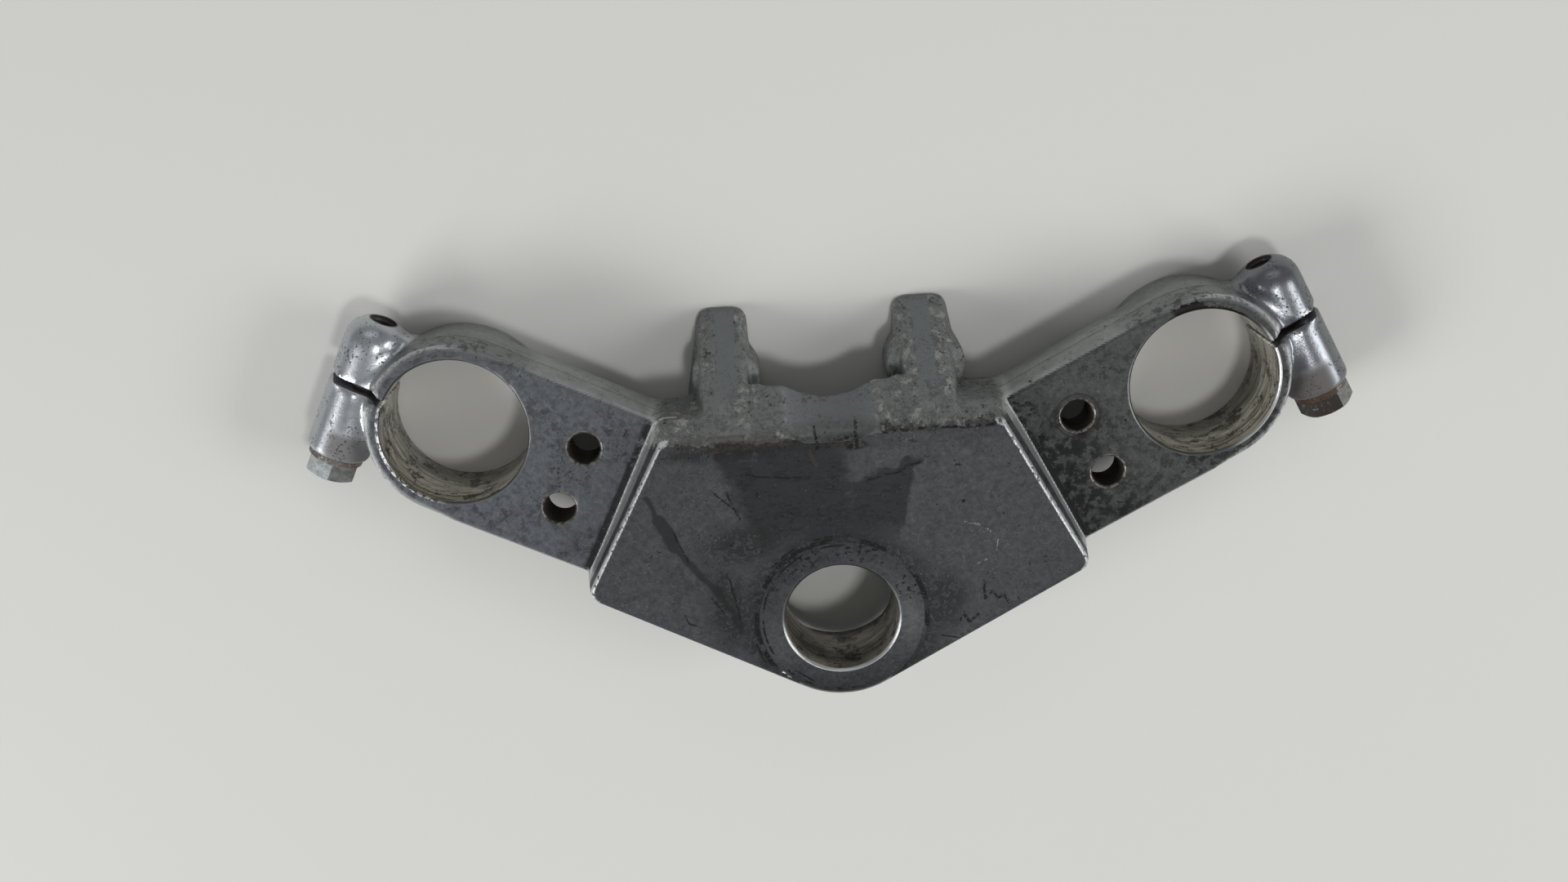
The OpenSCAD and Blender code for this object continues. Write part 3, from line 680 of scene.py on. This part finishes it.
black = (on_deck * (stem_lines | scrawls | lone_spot) | black_arcs | seat_spots | tar
         | saddle_marks * silver.rise(z, 13.0, 14.0)
         | 0.95 * step_grime | 0.85 * right_grime | 0.7 * (left_grime | ring_grime)
         | hollows | slit_face | boss_specks)
colour = silver.coat(colour, black, GRIME_BLACK, 0.9)
colour = silver.coat(colour, crevice, GRIME_BROWN, 0.75)

# The parting line, left by the two halves of the mould: a fine dark crack round the ring and arm
PAINT_FLAKED = (0.34, 0.345, 0.315)
CRACK = (0.02, 0.019, 0.018)
outer_side = (silver.fall(abs(level), 0.25, 0.4) * silver.rise(v, 18.0, 22.0)
              * silver.rise(u, -50.0, -49.0) * cast_skin)
parting = silver.near(z, turns * 2.2 + 3.9, 0.10, 0.22) * outer_side * silver.rise(smears, 0.36, 0.46)
below_parting = outer_side * silver.fall(z, 4.2, 5.4) * silver.rise(fine_clouds, 0.42, 0.56)
colour = silver.coat(colour, below_parting, PAINT_FLAKED, 0.5)
colour = silver.coat(colour, parting, CRACK, 0.85)

# The front face and the legs: paint gone chalky, with pale flakes and dark pits, but smooth on the
# saddle and along a strip down each leg
PAINT_SMOOTH = (0.150, 0.162, 0.166)
PAINT_CHALKY = (0.080, 0.081, 0.075)
PAINT_SCUFFED = (0.075, 0.074, 0.068)
PAINT_UNDER_DECK = (0.075, 0.070, 0.062)
PAINT_PITTED = (0.022, 0.021, 0.019)
SADDLE_SCUFFED = (0.060, 0.060, 0.056)
saddle = front * silver.fall(aside, 11.5, 12.3) * silver.fall(y, 65.0, 66.5)
wandering_aside = abs(silver.parts(steadier)[0])
strip = front * silver.near(wandering_aside, 27.5, 2.2, 1.2) * silver.rise(y, 60.0, 66.0)
chalky = front * (1 - 0.85 * (saddle | strip))
half_chalky = silver.rise(chalky, 0.0, 0.6)
flake_clouds = silver.noise(3.0, detail=6, rough=0.74)
pit_clouds = silver.noise(1.7, detail=5, rough=0.72)
scuff_clouds = silver.noise(1.2, detail=5, rough=0.7, warp=0.6, place=silver.stretched(0.6, 1.4, 1.4))
flakes = (silver.rise(flake_clouds, 0.55, 0.585) * silver.rise(chalky, 0.3, 0.9)
          * silver.rise(clouds, 0.38, 0.55))
darker = silver.fall(flake_clouds + specks, 0.90, 0.99) * half_chalky
pits = silver.rise(pit_clouds, 0.60, 0.63) * silver.rise(blotches, 0.40, 0.50) * half_chalky
under_deck = front * silver.fall(y, 54.5, 58.0) * silver.rise(smears, 0.36, 0.5)
scuffs = front * silver.rise(clouds, 0.36, 0.56) * (
    silver.rise(dots, 0.57, 0.62) | silver.rise(scuff_clouds, 0.57, 0.62))
saddle_scuffs = saddle * (
    silver.rise(specks, 0.50, 0.56) * silver.blots(
        from_above, ((-5.0, 61.8), (2.6, 1.6), 0.4), ((-1.2, 61.3), (1.2, 1.0), 0.4))
    | silver.rise(scuff_clouds, 0.50, 0.56) * silver.trails(
        steadier, (0.05, 0.4, ((-6.0, 58.6), (-3.0, 57.8), (-2.4, 56.6))))
    | silver.rise(scuff_clouds, 0.52, 0.58) * silver.rise(x, 4.0, 7.0) * silver.rise(y, 60.0, 63.0))
colour = silver.coat(colour, saddle | strip, PAINT_SMOOTH, 0.8)
colour = silver.coat(colour, darker, PAINT_CHALKY, 0.6)
colour = silver.coat(colour, scuffs, PAINT_SCUFFED, 0.5)
colour = silver.coat(colour, under_deck, PAINT_UNDER_DECK, 0.55)
colour = silver.coat(colour, flakes, PAINT_FLAKED, 0.75)
colour = silver.coat(colour, pits, PAINT_PITTED, 0.85)
colour = silver.coat(colour, saddle_scuffs, SADDLE_SCUFFED, 0.7)
colour = silver.coat(colour, saddle_marks * front, GRIME_BLACK, 0.9)

# Bright edges, but not the front's: wear on the sharp cast corners, wear and a painted highlight on the
# deck's sides, and a painted highlight along the rings' outer top edge
PAINT_WORN_AND_HIGHLIT = (0.66, 0.67, 0.68)
edge = silver.rise(silver.pointed, 0.54, 0.62) * cast_skin * silver.rise(blotches, 0.42, 0.60)
not_front = 1 - silver.rise(y, 51.5, 52.5) * silver.fall(aside, 44.0, 46.0)
side_face = silver.near(u, -51.4, 2.6, 0.5) * silver.fall(level, 0.80, 0.95) * silver.rise(z, 12.7, 13.0)
side_wear_and_highlight = side_face * silver.rise(specks, 0.34, 0.50) * (
    silver.rise(z, 19.4, 20.4) | silver.fall(z, 13.2, 14.4) * left_half)
# The rings' outer top edge near the bosses: a painted highlight where the rounded edge catches the lamp
ring_edge_highlight = (silver.near(fork_r, 24.2, 0.3, 0.6) * silver.rise(u, 4.0, 14.0)
             * silver.rise(z, 10.6, 11.4) * silver.rise(specks, 0.40, 0.50))
wear_and_highlights = side_wear_and_highlight | ring_edge_highlight | edge * not_front
colour = silver.coat(colour, wear_and_highlights, PAINT_WORN_AND_HIGHLIT, 0.85)

# Bare machined bores with streaks of brown dirt that run round them, and dull bevels with a painted
# highlight on the parts that face the light
BARE_METAL = (0.66, 0.64, 0.58)
BARE_STREAKED = (0.42, 0.40, 0.34)
BORE_DIRT = (0.19, 0.17, 0.13)
STEM_DIRT = (0.10, 0.092, 0.075)
BEVEL_DULL = (0.11, 0.115, 0.12)
BEVEL_HIGHLIGHT = (0.55, 0.56, 0.56)
ALONG_STREAKS = 0.11
round_place = silver.stretched(ALONG_STREAKS, ALONG_STREAKS, 1.0)
streaks = silver.noise(0.55, detail=4, rough=0.6, place=round_place)
broad_streaks = silver.noise(2.2, detail=5, rough=0.65, place=round_place)
bore_clouds = silver.noise(5, detail=6, rough=0.7)
in_stem = silver.fall(stem_r, 17.5, 18.0)
bevel_face = bore_wall * silver.rise(level, 0.25, 0.45)
bevel_highlight = bevel_face * (
    in_stem * silver.fall(y, -7.0, 1.0)
    | right_half * silver.rise(u, -3.0, 4.0) * silver.fall(v, 2.0, 8.0)
    | left_half * silver.rise(u, -6.0, 0.0) * silver.fall(v, -2.0, 2.0) * silver.rise(specks, 0.46, 0.54))
bare = silver.coat(BARE_METAL, silver.rise(streaks, 0.38, 0.62), BARE_STREAKED)
bare = silver.coat(bare, silver.rise(broad_streaks, 0.48, 0.62), BORE_DIRT, 0.8)
bare = silver.coat(bare, silver.rise(bore_clouds, 0.53, 0.60), GRIME_BROWN, 0.75)
bare = silver.coat(bare, silver.rise(dots, 0.58, 0.62) * silver.rise(blotches, 0.45, 0.55), GRIME_BLACK)
bare = silver.coat(bare, in_stem, STEM_DIRT, 0.45)
bare = silver.coat(bare, bevel_face, BEVEL_DULL)
bare = silver.coat(bare, bevel_highlight, BEVEL_HIGHLIGHT)
colour = silver.coat(colour, bore_wall, bare)

# The tapped holes: dark inside, with a rim that is bright in places, and a dark ring on the right
# arm; and the black burr along the inner edge of the right fork ring.
RIM_DARK = (0.060, 0.055, 0.048)
RIM_BRIGHT = (0.40, 0.36, 0.31)
RING_DARK = (0.020, 0.018, 0.016)
HOLE_DIRT = (0.07, 0.058, 0.045)
PINCH_DIRT = (0.085, 0.080, 0.072)
BURR = (0.009, 0.0065, 0.006)
hole_rim = silver.fall(hole_r, 5.0, 5.2) * silver.rise(z, 11.5, 11.8) * near_hole
hole_ring = on_arm * right_half * silver.rise(v, 0.0, 1.0) * silver.near(hole_r, 6.2, 0.15, 0.35)
hole_wall = silver.fall(hole_r, 5.0, 5.1) * silver.fall(z, 11.7, 11.9) * silver.fall(u, -20.0, -19.0)
pinch_wall = silver.fall(boss_r, 4.0, 4.1)
burr = right_half * silver.rise(v, 10.0, 12.0) * silver.rise(z, 10.0, 11.0) * silver.rise(u, -2.0, 0.0) * (
    silver.fall(fork_r + 2.0 * specks, 22.0, 22.4)
    | silver.near(u, 5.0, 3.5, 1.5) * silver.fall(fork_r + 5.0 * specks, 25.3, 25.8))
colour = silver.coat(colour, hole_rim, RIM_DARK)
colour = silver.coat(colour, hole_rim * silver.rise(smears, 0.44, 0.56), RIM_BRIGHT, 0.45)
colour = silver.coat(colour, hole_ring, RING_DARK, 0.7)
colour = silver.coat(colour, hole_wall, HOLE_DIRT)
colour = silver.coat(colour, pinch_wall, PINCH_DIRT)
colour = silver.coat(colour, burr, BURR)

# Metal, gloss and relief: paint with metal in it, duller and flatter under the film of dirt and painted
# shade, grainy all over
METAL_PAINTED = 0.5
METAL_BARE = 0.4
METAL_LOST_ON_FACE = 0.75
METAL_LOST_IN_FILM = 0.8
GLOSS_CLEAN = 0.24
GLOSS_MORE = ((blotches, 0.2), (dirt_and_shade, 0.14), (on_boss, -0.04), (face, 0.22), (black | pits | crevice, 0.3))
metal = METAL_PAINTED + METAL_BARE * (on_boss | wear_and_highlights | bore_wall * (1 - burr))
metal = metal * (1 - METAL_LOST_ON_FACE * face)
metal = metal * (1 - METAL_LOST_IN_FILM * (dirt_and_shade * (1 - (wear_and_highlights | bore_wall))))
metal = metal * (1 - (black | crevice | rubbed | parting | pinch_wall))
gloss = GLOSS_CLEAN
for mask, more in GLOSS_MORE:
    gloss = gloss + more * mask
relief = silver.bump(grains, 0.04)
relief = silver.bump((blotches * 1.5 + specks) * (1 - 0.85 * on_boss), 0.07, relief)
relief = silver.bump(flakes - (pits | parting), 0.06, relief)
silver.wear(
    Base_Color=colour, Metallic=metal, Roughness=gloss, Normal=relief,
    Specular_IOR_Level=0.5 - 0.36 * dirt_and_shade)
casting.data.materials.clear()
casting.data.materials.append(silver.material)
casting.data.shade_smooth()
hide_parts("clamp_casting")
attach(casting, "root")

# The pinch bolts and their washers: zinc-plated steel. The left head keeps a bluish plating on one
# side, the right one has gone dark brown between its paler sides, and rust creeps out from under
# the washers.
ZINC = (0.24, 0.25, 0.24)
ZINC_DULL = (0.15, 0.155, 0.14)
ZINC_BLUED = (0.105, 0.158, 0.20)
ZINC_BROWNED = (0.013, 0.009, 0.007)
RUST = (0.085, 0.042, 0.022)
zinc = Finish("dull_zinc")
right_half = zinc.rise(zinc.parts(zinc.place)[0], -1.0, 1.0)
left_half = 1 - right_half
v = zinc.vector("DOT_PRODUCT", zinc.from_fork(), tuple(ARM_AHEAD))
outwards = zinc.parts(zinc.facing)[0] * (right_half * 2.0 - 1.0)
patches = zinc.noise(2.2, detail=5, rough=0.7)
fine = zinc.noise(0.6, detail=3)
blued = left_half * zinc.rise(outwards, 0.25, 0.45) * zinc.rise(fine, 0.44, 0.50)
browned = right_half * zinc.fall(outwards, 0.25, 0.45) * zinc.rise(patches, 0.30, 0.40)
under_head = zinc.rise(v, -24.6, -23.8)
rusty = (0.9 * under_head | right_half * zinc.rise(patches, 0.60, 0.66)) * zinc.rise(fine, 0.40, 0.5)
unclean = rusty | browned
plate = zinc.coat(ZINC, zinc.rise(patches, 0.38, 0.62), ZINC_DULL)
plate = zinc.coat(plate, blued, ZINC_BLUED)
plate = zinc.coat(plate, browned, ZINC_BROWNED, 0.93)
plate = zinc.coat(plate, rusty, RUST, 0.75)
zinc.wear(
    Base_Color=plate, Metallic=0.68 - 0.60 * unclean, Roughness=0.42 + 0.10 * unclean,
    Specular_IOR_Level=0.5 - 0.35 * unclean, Normal=zinc.bump(patches, 0.06))
for piece in ("pinch_bolt_left", "washer_left", "pinch_bolt_right", "washer_right"):
    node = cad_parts[piece]
    node.data.materials.clear()
    node.data.materials.append(zinc.material)

# The table it was laid on: a board lacquered white with a dull sheen. It is one flat face at the
# height of the clamp's lowest side, 3 m across, so its edge shows in low views only.
BOARD_HALF = 1.5
LACQUER = (0.58, 0.58, 0.555)
board = new_object("board", bpy.data.meshes.new("board"))
board_corners = [(side_x * BOARD_HALF, side_y * BOARD_HALF, FLOOR_Z)
                 for side_x, side_y in ((-1, -1), (1, -1), (1, 1), (-1, 1))]
board.data.from_pydata(board_corners, [], [(0, 1, 2, 3)])
lacquer = bpy.data.materials.new("white_lacquer")
lacquer.use_nodes = True
lacquer_shader = lacquer.node_tree.nodes["Principled BSDF"]
lacquer_shader.inputs["Base Color"].default_value = (*LACQUER, 1)
lacquer_shader.inputs["Roughness"].default_value = 0.5
lacquer_shader.inputs["Specular IOR Level"].default_value = 0.1
board.data.materials.append(lacquer)

# The light: soft daylight all round, a lamp panel on each side of the table, a small one overhead
# and a faint window in front of the legs. Places are in metres, powers in watts.
DAYLIGHT = (0.96, 0.98, 1)
DAYLIGHT_STRENGTH = 0.24
PANELS_LOOK_AT = Vector((0, 0.03, 0))
PANELS = (
    ("left_panel", (-1.60, -0.75, 1.0), (1.2, 0.7), 31),
    ("right_panel", (1.78, -0.30, 1.0), (1.2, 0.7), 21),
    ("overhead_panel", (0.32, -0.20, 1.5), (0.24, 0.18), 6.3),
    ("window_panel", (0.0, 2.0, 1.3), (1.6, 0.8), 3))
world = bpy.data.worlds.new("room")
world.use_nodes = True
daylight = world.node_tree.nodes["Background"]
daylight.inputs["Color"].default_value = (*DAYLIGHT, 1)
daylight.inputs["Strength"].default_value = DAYLIGHT_STRENGTH
bpy.context.scene.world = world
for name, panel_at, size, power in PANELS:
    data = bpy.data.lights.new(name, "AREA")
    data.shape = "RECTANGLE"
    data.size, data.size_y = size
    data.energy = power
    panel = new_object(name, data)
    panel.location = panel_at
    panel.rotation_mode = "QUATERNION"
    panel.rotation_quaternion = (PANELS_LOOK_AT - Vector(panel_at)).to_track_quat("-Z", "Y")
